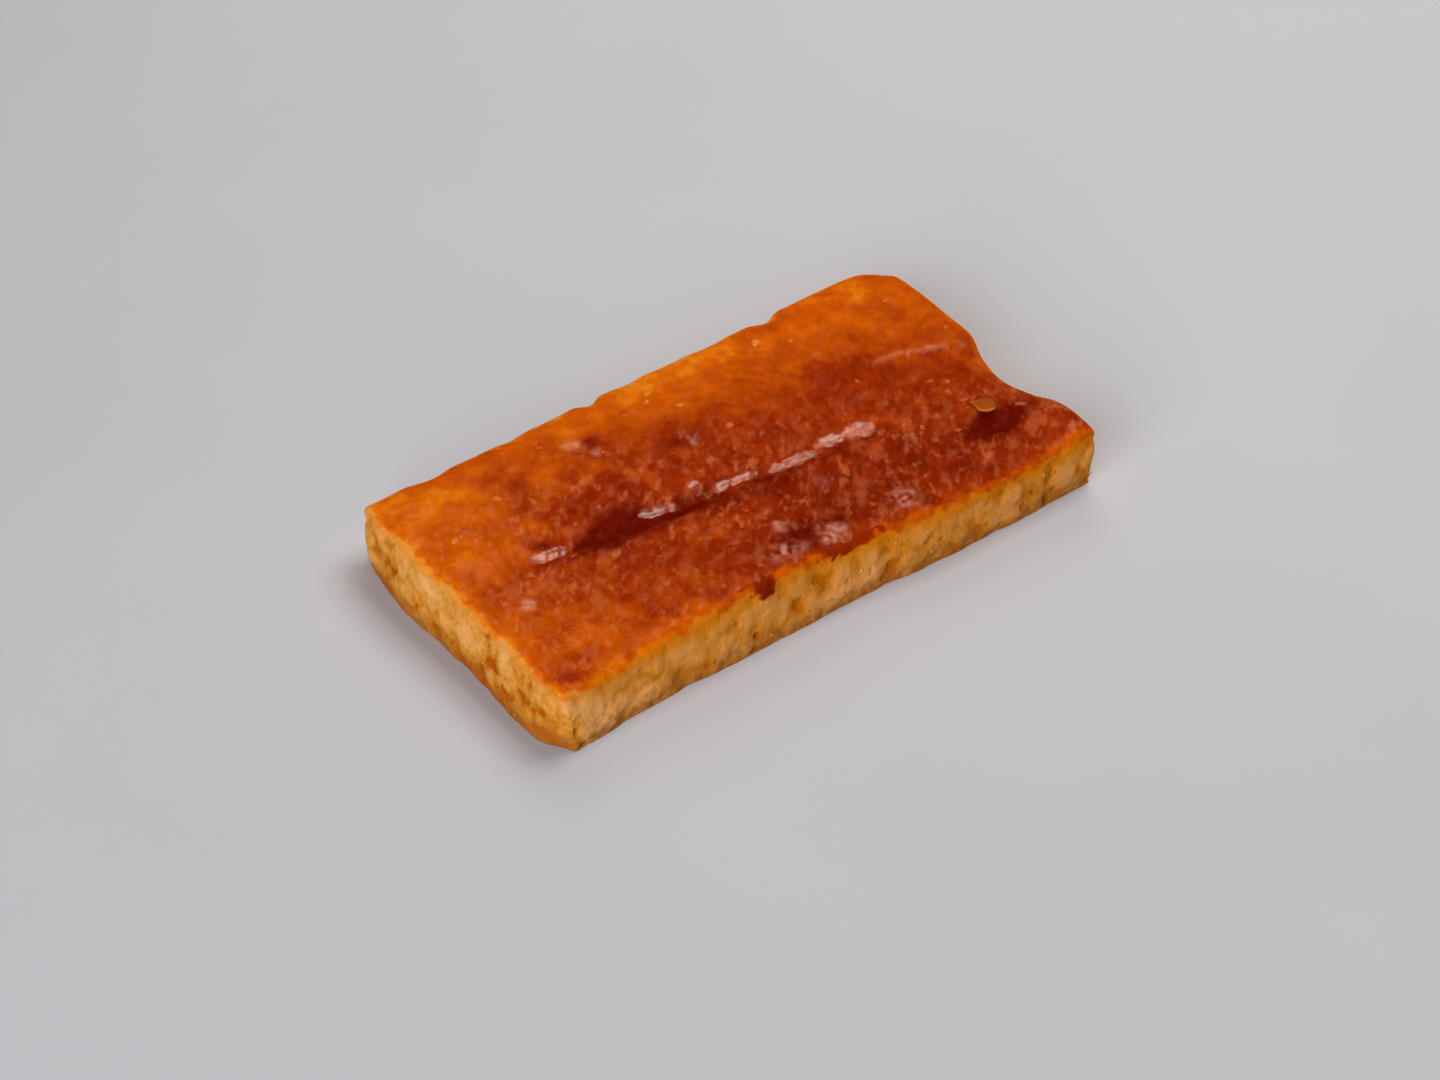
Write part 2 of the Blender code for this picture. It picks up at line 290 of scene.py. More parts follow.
class SliceColours(PropertyGroup):
    skin_pale: colour_property("Pale skin", "Skin that is hardly browned", (0.80, 0.30, 0.045))
    skin_gold: colour_property("Golden skin", "Thin skin that glows with syrup", (0.79, 0.20, 0.004))
    skin_amber: colour_property("Amber skin", "Lightly browned skin", (0.66, 0.110, 0.0015))
    skin_rust: colour_property("Rust skin", "Well browned skin", (0.32, 0.026, 0.0015))
    # The darkest skin, which also paints the shade in the groove and the pits
    skin_dark_and_shade: colour_property("Dark skin", "Skin in the groove and the pits", (0.14, 0.0045, 0.0012))
    # The fleck colour is partly pale grains and partly painted glints on the glaze
    fleck_and_glint: colour_property("Flecks", "Pale flecks in the glaze", (0.88, 0.23, 0.072))
    # The cloudy syrup colours are partly syrup and partly a painted highlight: the pale pink sheen where the
    # glaze shines
    cloudy_syrup_sheen: colour_property("Cloudy syrup", "Thick syrup in grooves and wet places", (0.57, 0.18, 0.11))
    cloudy_syrup_sheen_gold: colour_property("Cloudy syrup over gold", "Thick syrup on the pale skin", (0.76, 0.27, 0.13))
    # The three crumb tones are lit and shaded copies of one crumb: pale lit clumps, tan, and painted shade in
    # the pores and gaps
    crumb_lit_clump: colour_property("Pale crumb", "Clumps of the crumb", (0.85, 0.435, 0.15))
    crumb_tan: colour_property("Tan crumb", "Middle tone of the crumb", (0.63, 0.262, 0.034))
    crumb_gap_shade: colour_property("Deep crumb", "Pores and gaps of the crumb", (0.42, 0.09, 0.001))
    soaked: colour_property("Soaked crumb", "Crumb just under the skin", (0.70, 0.205, 0.006))
    # The browned underside, whose colour also paints shade on the sides towards the foot
    base_brown_and_foot_shade: colour_property("Baked base", "The browned underside", (0.33, 0.10, 0.015))
    nut: colour_property("Nut flake", "The flake of nut", (0.35, 0.062, 0.002))
    # The pale rim of the flake is partly thinner nut and partly a painted highlight on one side
    nut_rim_and_highlight: colour_property("Nut rim", "The pale rim of the flake", (0.52, 0.135, 0.015))


class StageSettings(PropertyGroup):
    floor_colour: colour_property("Floor", "The pale floor", (0.57, 0.595, 0.665))
    overhead_power: power_property("Overhead light", "Power of the large light above", 4.3)
    front_power: power_property("Front light", "Power of the soft light in front", 12.6)
    back_power: power_property("Back light", "Power of the light that wet places mirror", 2.4)
    lens: FloatProperty(name="Lens", description="Focal length in millimetres", default=85.0)


# Shared measures


def smoothstep(low, high, value):
    """0 below low, 1 above high, and a soft step between them."""
    t = min(1.0, max(0.0, (value - low) / (high - low)))
    return t * t * (3.0 - 2.0 * t)


def falling(low, high, value):
    """1 below low, 0 above high, and a soft step between them."""
    return 1.0 - smoothstep(low, high, value)


def plateau(start, full, fading, end, value):
    """1 from full to fading, 0 before start and beyond end, and soft steps between them."""
    return smoothstep(start, full, value) * falling(fading, end, value)


def bell(distance):
    """1 at the middle, falling softly to 0 at a distance of 1."""
    return max(0.0, 1.0 - distance * distance) ** 2


def waver(x, y, z, size, layer=0.0):
    """Soft noise from -1 to 1 with lumps of a given size in millimetres."""
    return noise.noise(Vector((x / size, y / size, z / size + layer)))


def sum_of_places(places, x, y):
    """Sum of soft round patches at a point of the top."""
    total = 0.0
    for place_x, place_y, reach_x, reach_y, amount in places:
        dx = (x - place_x) / reach_x
        dy = (y - place_y) / reach_y
        total += amount * bell((dx * dx + dy * dy) ** 0.5)
    return total


def groove_offset(x, y):
    """How far a point lies behind the floor of the groove."""
    sway = GROOVE_SWAY[2] * bell((x - GROOVE_SWAY[0]) / GROOVE_SWAY[1])
    return y - GROOVE_POINT[1] - GROOVE_SLOPE * (x - GROOVE_POINT[0]) - sway


def groove_share(x):
    """1 along the deep part of the groove, fading at its ends."""
    return plateau(*GROOVE_SPAN, x)


def left_share(x):
    """1 at the left end, where the skin gives way to pale crumb over a few millimetres."""
    return falling(-73.0, -62.0, x)


def browning(x, y):
    """How far the top is baked at a point, with painted shade in the groove and the pits: about 0 at the pale
    left end and 1 in the darkest pit.
    """
    offset = groove_offset(x, y)
    # A dark band along the groove: partly darker skin where syrup stands, partly painted shade in the groove
    wide = plateau(-48.0, -38.0, -12.0, 0.0, x) * plateau(-7.5, -4.5, 1.5, 4.0, offset)
    front = groove_share(x) * plateau(-4.6, -2.6, -0.6, 0.6, offset)
    cloud = 0.15 * waver(x, y, 0.0, 6.5, 3.0) + 0.05 * waver(x, y, 0.0, 2.6, 8.0)
    baked = PLAIN_BAKE + sum_of_places(BAKED_PLACES, x, y) + 0.2 * wide + 0.14 * front + cloud
    return max(0.15, baked) - LEFT_PALENESS * falling(-74.0, -63.0, x)


def hanging_share(x, y, z):
    """1 where dark skin hangs over the rim of the front, 0 elsewhere."""
    ragged = 1.0 + 0.55 * waver(x, 0.0, z, 1.3, 6.1)
    spots = [hypot((x - middle) / long, (z - height) / high) for middle, height, long, high in HANGING_SKIN]
    return bell(min(spots) * ragged) if y < -30.0 else 0.0


def rim_browning(x, y, z, gap):
    """How far the skin is baked a given gap in from the rim, in millimetres, with its paler edge and a
    painted glow along the back rim.
    """
    baked = browning(x, y)
    ragged = 1.3 * waver(x, y, 0.0, 3.0, 3.3) + 0.7 * waver(x, y, 0.0, 1.4, 7.7)
    # Paler where the skin thins out at its edge, and paler still along the back rim, which is partly a
    # painted glow on the back edge
    thin_edge_and_back_glow = (0.48 + 0.3 * smoothstep(24.0, 36.0, y)) * falling(0.0, 2.6, gap + ragged)
    thin_edge_and_back_glow *= (1.0 - 0.3 * smoothstep(0.6, 0.95, baked)) * falling(0.1, 0.5, hanging_share(x, y, z))
    end = 0.12 * left_share(x) * falling(0.4, 3.0, gap + 1.4 * waver(x, y, 0.0, 2.4, 3.8))
    return max(0.0, baked * (1.0 - thin_edge_and_back_glow) - end)


def slanted_waver(x, y, size, layer):
    """Soft noise from -1 to 1 with lumps that are long on a level slant."""
    across, along = 0.79 * x - 0.61 * y, 0.61 * x + 0.79 * y
    return waver(across, along / 3.0, 0.0, size, layer)


def strip_share(x, y):
    """1 in the glossy strips of the groove, which taper to their ends and have ragged edges."""
    ragged = 0.5 * waver(x, 0.5 * y, 0.0, 3.0, 7.0) + 0.5 * slanted_waver(x, y, 1.6, 3.0)
    offset = groove_offset(x, y)
    share = 0.0
    for start, end, behind, wide in GLOSSY_STRIPS:
        along = (x + slanted_waver(x, y, 1.3, 5.0) - start) / (end - start)
        if -0.1 < along < 1.1:
            reach = 0.5 * wide * (0.45 + 0.55 * plateau(0.0, 0.25, 0.8, 1.0, along)) * (1.0 + ragged)
            ends = plateau(-0.06, 0.06, 0.94, 1.06, along)
            aside = abs(offset - behind + 0.4 * ragged)
            share = max(share, ends * falling(reach - 0.25, reach + 0.35, aside))
    return share


def fold_share(x, y):
    """1 on the thin ridge of the fold near the right end."""
    start_x, start_y, end_x, end_y = FOLD_LINE
    along = (x - start_x) / (end_x - start_x)
    arch = 1.6 * bell(along - 0.45)
    ridge = start_y + along * (end_y - start_y) + arch + 0.5 * waver(x, 0.0, 0.0, 4.0, 11.0)
    return plateau(-0.1, 0.3, 0.85, 1.1, along) * bell((y - ridge) / 1.5)


def standing_syrup(x, y):
    """1 in the middle of the places where syrup stands, in broken blots."""
    blots = 0.7 * slanted_waver(x, y, 1.6, 5.0) + 0.5 * waver(x, y, 0.0, 1.1, 6.0)
    shift_x, shift_y = 1.8 * waver(x, y, 0.0, 2.8, 1.7), 1.8 * waver(x, y, 0.0, 2.8, 9.3)
    places = sum_of_places(WET_PLACES, x + shift_x, y + shift_y)
    return min(1.0, 1.25 * places) * smoothstep(-0.42, 0.22, blots)


def wetness(x, y):
    """How thick the syrup stands at a point of the top, from 0 to 1."""
    strips = strip_share(x, y) * (0.4 + 0.6 * smoothstep(-0.3, 0.1, slanted_waver(x, y, 1.5, 2.5)))
    return min(1.0, 0.1 + strips + 0.55 * standing_syrup(x, y))


def cloudiness(x, y):
    """How strongly cloudy syrup and a painted pale sheen show at a point of the top, from 0 to 1. The sheen
    is a painted highlight on the glossy strips, the wet places and the fold.
    """
    shards = smoothstep(-0.35, 0.3, 0.7 * slanted_waver(x, y, 1.5, 14.0) + 0.5 * waver(x, y, 0.0, 1.7, 15.0))
    broken = smoothstep(-0.4, 0.4, waver(x, y, 0.0, 2.4, 13.0))
    strips = 0.62 * strip_share(x, y) * (0.2 + 0.8 * shards)
    return min(1.0, strips + 0.82 * standing_syrup(x, y) + 0.55 * fold_share(x, y) * broken)


def crinkle(x, y):
    """How crinkled and flecked the skin is: smooth behind, where it is orange, and rough on the fold, where
    the flecks paint a pale sheen along its ridge.
    """
    return 0.25 + 0.75 * falling(0.0, 22.0, y + 0.3 * x) + 1.6 * fold_share(x, y)


# The solid that the pieces start from


def merged_solid():
    """A copy of the plain solid with its loose triangles joined, and without its base."""
    bm = bmesh.new()
    bm.from_mesh(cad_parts[SOLID].data)
    bmesh.ops.remove_doubles(bm, verts=bm.verts, dist=0.001 * MM)
    base = [face for face in bm.faces if face.normal.z < -0.99 and face.calc_center_median().z < 0.1 * MM]
    bmesh.ops.delete(bm, geom=base, context="FACES")
    widest = radians(60.0)
    bmesh.ops.join_triangles(bm, faces=bm.faces, angle_face_threshold=widest, angle_shape_threshold=widest)
    bm.normal_update()
    return bm


def top_faces(bm):
    """The faces of the baked top, up to the rim."""
    return [face for face in bm.faces if face.normal.z > 0.45 and face.calc_center_median().z > 10.5 * MM]


class Rim:
    """The edge between the top and the sides, as points that are looked up from above."""

    def __init__(self):
        bm = merged_solid()
        top = set(top_faces(bm))
        points = []
        for edge in bm.edges:
            if sum(face in top for face in edge.link_faces) != 1:
                continue
            start, end = (vert.co for vert in edge.verts)
            steps = ceil((end - start).length / (0.25 * MM))
            points += [start.lerp(end, step / steps) for step in range(steps)]
        bm.free()
        self.heights = [point.z for point in points]
        self.tree = KDTree(len(points))
        for index, point in enumerate(points):
            self.tree.insert((point.x, point.y, 0.0), index)
        self.tree.balance()

    def near(self, point):
        """How far the rim is from a point on the plan, and how high it is there."""
        _, index, distance = self.tree.find((point.x, point.y, 0.0))
        return distance, self.heights[index]


def mesh_of(name, bm):
    """A new mesh with the shape of the bmesh, which is freed."""
    mesh = bpy.data.meshes.new(name)
    bm.to_mesh(mesh)
    bm.free()
    return mesh


def placed(name, data):
    """A new object of the scene that shows the data."""
    made = bpy.data.objects.new(name, data)
    bpy.context.scene.collection.objects.link(made)
    return made


def rounded(bm, levels):
    """The same shape with its facets rounded off by a subdivision surface."""
    mesh = mesh_of("rounding", bm)
    holder = placed("rounding", mesh)
    surface = holder.modifiers.new("rounding", "SUBSURF")
    surface.levels = levels
    surface.render_levels = levels
    graph = bpy.context.evaluated_depsgraph_get()
    smooth_mesh = bpy.data.meshes.new_from_object(holder.evaluated_get(graph))
    made = bmesh.new()
    made.from_mesh(smooth_mesh)
    bpy.data.objects.remove(holder)
    bpy.data.meshes.remove(mesh)
    bpy.data.meshes.remove(smooth_mesh)
    made.normal_update()
    return made


def kept_inside(bm):
    """Draws in what stands beyond the box of the plain solid."""
    low, high = SOLID_BOX
    for vert in bm.verts:
        for axis in range(3):
            vert.co[axis] = min(high[axis], max(low[axis], vert.co[axis]))


def finished(name, bm, finish):
    """Turns a bmesh into a piece that rides on the slice and stands for its plain solid."""
    kept_inside(bm)
    mesh = mesh_of(name, bm)
    mesh.shade_smooth()
    mesh.materials.append(finish)
    piece = placed(name, mesh)
    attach(piece, BODY)
    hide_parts(SOLID)


def float_layers(bm, *names):
    """Values that each vertex carries for the finish, by name."""
    return {name: bm.verts.layers.float.new(name) for name in names}


def piece_ground(name):
    """A finished piece, to be looked up from above."""
    bm = bmesh.new()
    bm.from_mesh(bpy.data.objects[name].data)
    tree = BVHTree.FromBMesh(bm)
    bm.free()
    return tree


def found_below(ground, x, y):
    """The point and the normal of a piece straight below a place in metres, or None and None."""
    return ground.ray_cast(Vector((x, y, LOOK_HEIGHT)), DOWN)[:2]


# Materials


def feed(tree, node, inputs):
    """Gives a node its inputs. An input is a value or the output of another node."""
    for name, value in inputs.items():
        if isinstance(value, bpy.types.NodeSocket):
            tree.links.new(value, node.inputs[name])
        else:
            node.inputs[name].default_value = value


def add_node(tree, kind, inputs=None, **settings):
    """A shader node with its settings and inputs."""
    made = tree.nodes.new(kind)
    for name, value in settings.items():
        setattr(made, name, value)
    feed(tree, made, inputs or {})
    return made


def new_finish(name):
    """A new material with its tree, its shader and the place on the piece in metres."""
    made = bpy.data.materials.new(name)
    made.use_nodes = True
    tree = made.node_tree
    place = add_node(tree, "ShaderNodeTexCoord").outputs["Object"]
    return made, tree, tree.nodes["Principled BSDF"], place


def attribute(tree, name):
    """The value that the mesh carries under a name."""
    return add_node(tree, "ShaderNodeAttribute", attribute_name=name).outputs["Fac"]


def speckle(tree, place, size, detail=2.0, output="Fac"):
    """Noise that swings about 0.5, with lumps of a given size in millimetres."""
    inputs = {"Vector": place, "Scale": 1.0 / (size * MM), "Detail": detail}
    return add_node(tree, "ShaderNodeTexNoise", inputs).outputs[output]


def math(tree, operation, first, second=0.0, third=0.0):
    """A sum of the shader tree on numbers."""
    return add_node(tree, "ShaderNodeMath", {0: first, 1: second, 2: third}, operation=operation).outputs[0]


def vector_math(tree, operation, inputs):
    """A sum of the shader tree on places."""
    return add_node(tree, "ShaderNodeVectorMath", inputs, operation=operation).outputs[0]


def shifted(tree, value, part, amount):
    """value plus an amount of a noise that swings about 0.5."""
    return math(tree, "MULTIPLY_ADD", part, amount, math(tree, "ADD", value, -0.5 * amount))


def remapped(tree, value, low, high, to_low=0.0, to_high=1.0):
    """A soft step of a value from one range to another."""
    inputs = {"Value": value, "From Min": low, "From Max": high, "To Min": to_low, "To Max": to_high}
    return add_node(tree, "ShaderNodeMapRange", inputs, interpolation_type="SMOOTHSTEP").outputs["Result"]


def mottle(tree, place, size):
    """Noise from 0 to 1, with lumps of a given size in millimetres."""
    return remapped(tree, speckle(tree, place, size), 0.3, 0.7)


def ramp(tree, value, stops):
    """A row of colours along a value: (place, colour) for each stop."""
    made = add_node(tree, "ShaderNodeValToRGB", {"Fac": value})
    row = made.color_ramp.elements
    while len(row) < len(stops):
        row.new(0.5)
    for stop, (place, colour) in zip(row, stops):
        stop.position = place
        stop.color = (*colour, 1.0)
    return made.outputs["Color"]


def blended(tree, share, first, second):
    """Two colours mixed by a share."""
    made = add_node(tree, "ShaderNodeMix", {0: share}, data_type="RGBA")
    for socket, colour in ((6, first), (7, second)):
        linked = isinstance(colour, bpy.types.NodeSocket)
        feed(tree, made, {socket: colour if linked else (*colour, 1.0)})
    return made.outputs[2]


def bumps(tree, height, depth):
    """The normal of fine relief, with a depth in millimetres."""
    inputs = {"Height": height, "Distance": depth * MM, "Strength": 1.0}
    return add_node(tree, "ShaderNodeBump", inputs).outputs["Normal"]


def warped(tree, place, size, amount):
    """The place, drawn this way and that by a noise, so that patterns on it lose their round shapes."""
    drift = speckle(tree, place, size, output="Color")
    centred = vector_math(tree, "SUBTRACT", {0: drift, 1: (0.5, 0.5, 0.5)})
    scaled = vector_math(tree, "SCALE", {0: centred, "Scale": amount * MM})
    return vector_math(tree, "ADD", {0: place, 1: scaled})


def along_slant(tree, place):
    """The place, squeezed along a level slant, so that patterns on it come out long that way, as painted
    glints on small lumps do.
    """
    inputs = {"Vector": place, "Rotation": (0.0, 0.0, radians(-38.0)), "Scale": (1.0, 2.0, 1.0)}
    return add_node(tree, "ShaderNodeMapping", inputs, vector_type="TEXTURE").outputs[0]


def flecks_and_glints(tree, bent, place):
    """Soft, irregular flecks and short crinkles of the skin, in clusters: from 0 to 1. They are partly pale
    grains and partly painted glints.
    """
    spots = remapped(tree, speckle(tree, bent, 1.7, 1.5), 0.47, 0.76)
    smears = remapped(tree, speckle(tree, bent, 3.2, 1.0), 0.5, 0.72, 0.0, 0.5)
    swing = math(tree, "ABSOLUTE", math(tree, "SUBTRACT", speckle(tree, bent, 2.2, 1.0), 0.5))
    line = remapped(tree, swing, 0.14, 0.0, 0.0, 0.26)
    crinkles = math(tree, "MULTIPLY", line, remapped(tree, speckle(tree, place, 3.0, 1.0), 0.44, 0.62))
    clusters = remapped(tree, speckle(tree, place, 5.0), 0.36, 0.6, 0.25, 1.0)
    fine = math(tree, "MULTIPLY", math(tree, "MAXIMUM", spots, crinkles), clusters)
    return math(tree, "MAXIMUM", fine, smears)


def skin_colour(tree, tone, colours):
    """The colour of the skin for how far it is baked."""
    browns = (colours.skin_pale, colours.skin_gold, colours.skin_amber, colours.skin_rust, colours.skin_dark_and_shade)
    return ramp(tree, tone, tuple(zip(SKIN_STOPS, browns)))


def skin_finish(name, colours):
    """Baked skin under a syrup glaze: amber to dark rust, mottled, with pale flecks that are partly painted
    glints, a painted sheen where syrup stands, and a broken gloss.
    """
    made, tree, shader, place = new_finish(name)
    slanted = along_slant(tree, place)
    grit = mottle(tree, slanted, 1.2)
    rough = attribute(tree, "crinkle")
    baked = attribute(tree, "browning")
    tone = shifted(tree, baked, mottle(tree, place, 4.5), 0.14)
    colour = skin_colour(tree, shifted(tree, tone, grit, 0.05), colours)
    fleck_and_glint = flecks_and_glints(tree, warped(tree, slanted, 2.0, 1.2), place)
    # Pale flecks blended into the colour: partly pale grains, partly painted glints
    shown = math(tree, "MULTIPLY", math(tree, "MULTIPLY", fleck_and_glint, rough), FLECK_AND_GLINT_SHARE)
    shown = math(tree, "MULTIPLY", shown, remapped(tree, baked, 0.75, 1.05, 1.0, 0.1))
    colour = blended(tree, shown, colour, colours.fleck_and_glint)
    # A pale pink sheen of cloudy syrup: partly the syrup's colour, partly a painted highlight where the glaze
    # shines
    cloud = math(tree, "MULTIPLY", attribute(tree, "cloudiness"), remapped(tree, grit, 0.0, 1.0, 0.75, 1.0))
    over_gold = remapped(tree, baked, 0.6, 0.45)
    colour = blended(tree, cloud, colour, blended(tree, over_gold, colours.cloudy_syrup_sheen, colours.cloudy_syrup_sheen_gold))
    wet = attribute(tree, "wetness")
    dull = shifted(tree, remapped(tree, wet, 0.0, 1.0, 0.5, 0.35), grit, 0.15)
    glaze = math(tree, "MAXIMUM", remapped(tree, wet, 0.15, 0.8), math(tree, "MULTIPLY", shown, 0.06))
    lumps = speckle(tree, place, 2.2, 1.0)
    height = math(tree, "MULTIPLY_ADD", fleck_and_glint, 0.3, math(tree, "MULTIPLY_ADD", grit, 0.2, lumps))
    height = math(tree, "MULTIPLY", height, math(tree, "MULTIPLY_ADD", rough, 0.6, 0.4))
    feed(tree, shader, {"Base Color": colour, "Roughness": dull, "Specular IOR Level": 0.0})
    feed(tree, shader, {"Coat Weight": glaze, "Coat Roughness": 0.18})
    feed(tree, shader, {"Coat Normal": bumps(tree, lumps, 0.22), "Normal": bumps(tree, height, 0.55)})
    return made


def crumb_finish(name, colours):
    """Moist, coarse semolina crumb: paler lit clumps, gaps and pores darkened by painted shade, orange under
    the skin, browned base, and painted shade towards the foot.
    """
    made, tree, shader, place = new_finish(name)
    clumps = mottle(tree, place, 2.2)
    packing = {"Vector": warped(tree, place, GRAIN_CELL, 0.5), "Scale": 1.0 / (GRAIN_CELL * MM)}
    cells = add_node(tree, "ShaderNodeTexVoronoi", packing, feature="SMOOTH_F1")
    grains = remapped(tree, cells.outputs["Distance"], 0.65, 0.1)
    # Painted shade in the gaps and pores, paler lit clumps, and a random tone of the crumb
    tone = shifted(tree, shifted(tree, attribute(tree, "relief"), clumps, 0.24), grains, 0.08)
    stops = ((0.24, colours.crumb_gap_shade), (0.5, colours.crumb_tan), (0.86, colours.crumb_lit_clump))
    colour = ramp(tree, tone, stops)
    soak = shifted(tree, attribute(tree, "soak"), clumps, 0.2)
    colour = blended(tree, remapped(tree, soak, 0.0, 1.0), colour, colours.soaked)
    skin = skin_colour(tree, shifted(tree, attribute(tree, "browning"), clumps, 0.15), colours)
    crust = attribute(tree, "crust")
    share = remapped(tree, shifted(tree, crust, clumps, 0.2), 0.05, 0.95)
    colour = blended(tree, share, colour, skin)
    # The browned underside, and painted shade that darkens the sides towards the foot
    base = shifted(tree, attribute(tree, "base"), clumps, 0.4)
    colour = blended(tree, remapped(tree, base, 0.1, 1.0), colour, colours.base_brown_and_foot_shade)
    dull = shifted(tree, remapped(tree, crust, 0.0, 1.0, 0.75, 0.4), grains, 0.15)
    height = math(tree, "MULTIPLY_ADD", clumps, 0.6, math(tree, "MULTIPLY", grains, 0.4))
    feed(tree, shader, {"Base Color": colour, "Roughness": dull, "Specular IOR Level": 0.0})
    feed(tree, shader, {"Normal": bumps(tree, height, 0.12)})
    return made


def grain_finish(name, colours):
    """Semolina grains soaked with syrup: the tone of the skin around them, but paler."""
    made, tree, shader, place = new_finish(name)
    grit = mottle(tree, place, 0.8)
    colour = skin_colour(tree, shifted(tree, attribute(tree, "browning"), grit, 0.2), colours)
    share = shifted(tree, attribute(tree, "paleness"), grit, 0.2)
    colour = blended(tree, share, colour, colours.fleck_and_glint)
    dull = shifted(tree, attribute(tree, "wetness"), grit, 0.2)
    feed(tree, shader, {"Base Color": colour, "Roughness": dull, "Specular IOR Level": 0.1})
    feed(tree, shader, {"Normal": bumps(tree, grit, 0.12)})
    return made


def nut_finish(name, colours):
    """Roasted nut with a paler, thinner rim, which on one side is partly a painted highlight."""
    made, tree, shader, place = new_finish(name)
    grain = speckle(tree, place, 0.7)
    rim = shifted(tree, attribute(tree, "rim"), grain, 0.5)
    colour = blended(tree, remapped(tree, rim, 0.45, 0.95), colours.nut, colours.nut_rim_and_highlight)
    feed(tree, shader, {"Base Color": colour, "Roughness": 0.45, "Specular IOR Level": 0.05})
    feed(tree, shader, {"Normal": bumps(tree, grain, 0.1)})
    return made


# The crumb


def ragged_inset(x, y):
    """How far the skin's ragged edge lies in from the rim, in millimetres."""
    ragged = 0.9 + 0.9 * waver(x, y, 0.0, 3.0, 1.5) + 0.5 * waver(x, y, 0.0, 1.2, 6.5)
    return max(0.5, (0.9 + 0.5 * left_share(x)) * ragged)


def sunk_under_skin(x, y, gap):
    """How deep the crumb lies under the skin, a given gap in from the rim, in millimetres."""
    edge = ragged_inset(x, y)
    return 1.5 * smoothstep(edge + 0.1, edge + 3.0, gap)


def scattered_pores(bm, count):
    """Open pores of the sides: (middle, radius, depth) in millimetres, with those that are known first."""
    draw = Random(PORE_SEED)
    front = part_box(SOLID)[0].y / MM + 0.8
    pores = []
    for x, z in FRONT_PORES:
        pores.append((Vector((x, front, z)), draw.uniform(1.2, 1.7), draw.uniform(0.8, 1.1)))
    upright = [face for face in bm.faces if abs(face.normal.z) < 0.4]
    sides = [face for face in upright if face.calc_center_median().z < PORE_TOP * MM]
    while len(pores) < count:
        middle = draw.choice(sides).calc_center_median() / MM
        if draw.random() < 0.25 + 0.75 * (1.0 - middle.z / 13.0):
            radius = 0.45 + 0.95 * draw.random() ** 2
            pores.append((middle, radius, radius * draw.uniform(0.55, 0.8)))
    return pores


def pore_lookup(pores):
    """A tree that finds the pores near a place."""
    tree = KDTree(len(pores))
    for index, (middle, _, _) in enumerate(pores):
        tree.insert(middle, index)
    tree.balance()
    return tree


def pore_depth(place, pores, tree):
    """Depth of the open pores at a place, in millimetres."""
    depth = 0.0
    for _, index, distance in tree.find_range(place, PORE_REACH):
        _, radius, deepest = pores[index]
        depth = max(depth, deepest * bell(distance / radius))
    return depth


def domes(place, size):
    """Rounded clumps of uneven height that run softly into each other."""
    bent = place + 0.5 * size * noise.noise_vector(place / (1.6 * size))
    total = 0.0
    for distance, point in zip(*noise.voronoi(bent / size)):
        total += exp(0.25 * CLUMP_SOFTNESS * noise.cell(7.3 * point) - CLUMP_SOFTNESS * distance ** 2)
    return log(total) / CLUMP_SOFTNESS + 0.15


def clump_relief(place, size):
    """Soft clumps of the crumb, coarse and fine, from about -1 to 1."""
    coarse = noise.noise(place / (1.7 * size))
    return 0.6 * coarse + 1.7 * domes(place, size) + 0.28 * domes(place, 0.45 * size)


def divide_visible(bm, rim):
    """Divides the sides and the strip along the rim finely, and leaves what the skin hides coarse."""
    # A dict, because a set would give the edges in another order at each run
    fine = {}
    for face in bm.faces:
        gap, _ = rim.near(face.calc_center_median())
        if face.normal.z < 0.5 or gap < RIM_STRIP * MM:
            fine.update(dict.fromkeys(face.edges))
    bmesh.ops.subdivide_edges(bm, edges=list(fine), cuts=2, use_grid_fill=True)
    bm.normal_update()


def close_base(bm):
    """Closes the slice below and divides the base, so that it can be dented."""
    foot = [edge for edge in bm.edges if edge.is_boundary]
    for edge in foot:
        for vert in edge.verts:
            vert.co.z = 0.0
    base = bmesh.ops.edgeloop_fill(bm, edges=foot)["faces"]
    low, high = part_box(SOLID)
    step = BASE_STEP * MM
    geom = base + list(dict.fromkeys(edge for face in base for edge in face.edges))
    for axis, normal in enumerate((Vector((1.0, 0.0, 0.0)), Vector((0.0, 1.0, 0.0)))):
        cuts = int((high[axis] - low[axis]) / step)
        for index in range(1, cuts + 1):
            place = normal * (low[axis] + index * step)
            cut = bmesh.ops.bisect_plane(bm, geom=geom, dist=0.01 * MM, plane_co=place, plane_no=normal)
            geom = [item for item in cut["geom"] if not isinstance(item, bmesh.types.BMVert)]
    bm.normal_update()


def eased_normals(bm, passes):
    """Normals averaged with those around them, so that they turn softly at a corner and are shorter there."""
    bm.verts.index_update()
    near = [[edge.other_vert(vert).index for edge in vert.link_edges] for vert in bm.verts]
    eased = [vert.normal.copy() for vert in bm.verts]
    for _ in range(passes):
        eased = [
            sum((eased[other] for other in others), normal.copy()) / (len(others) + 1)
            for normal, others in zip(eased, near)
        ]
    return eased


def foot_directions(bm):
    """The level direction away from the slice for each vertex at the foot of the sides."""
    found = {}
    for vert in bm.verts:
        sides = [face.normal for face in vert.link_faces if abs(face.normal.z) < 0.7]
        if vert.co.z < 0.4 * MM and sides:
            total = sum(sides, Vector())
            found[vert] = Vector((total.x, total.y, 0.0)).normalized()
    return found


def side_soak(x, y, below):
    """How orange the syrup makes the crumb, a given depth below the rim in millimetres."""
    reach = 1.0 + 0.5 * waver(x, y, 0.0, 5.0, 4.0)
    near_skin = falling(0.0, 4.2 * reach, below)
    lower = falling(2.0, 9.0, below)
    return (0.55 * near_skin + 0.12 * lower + 0.4) * (1.0 - 0.85 * left_share(x))


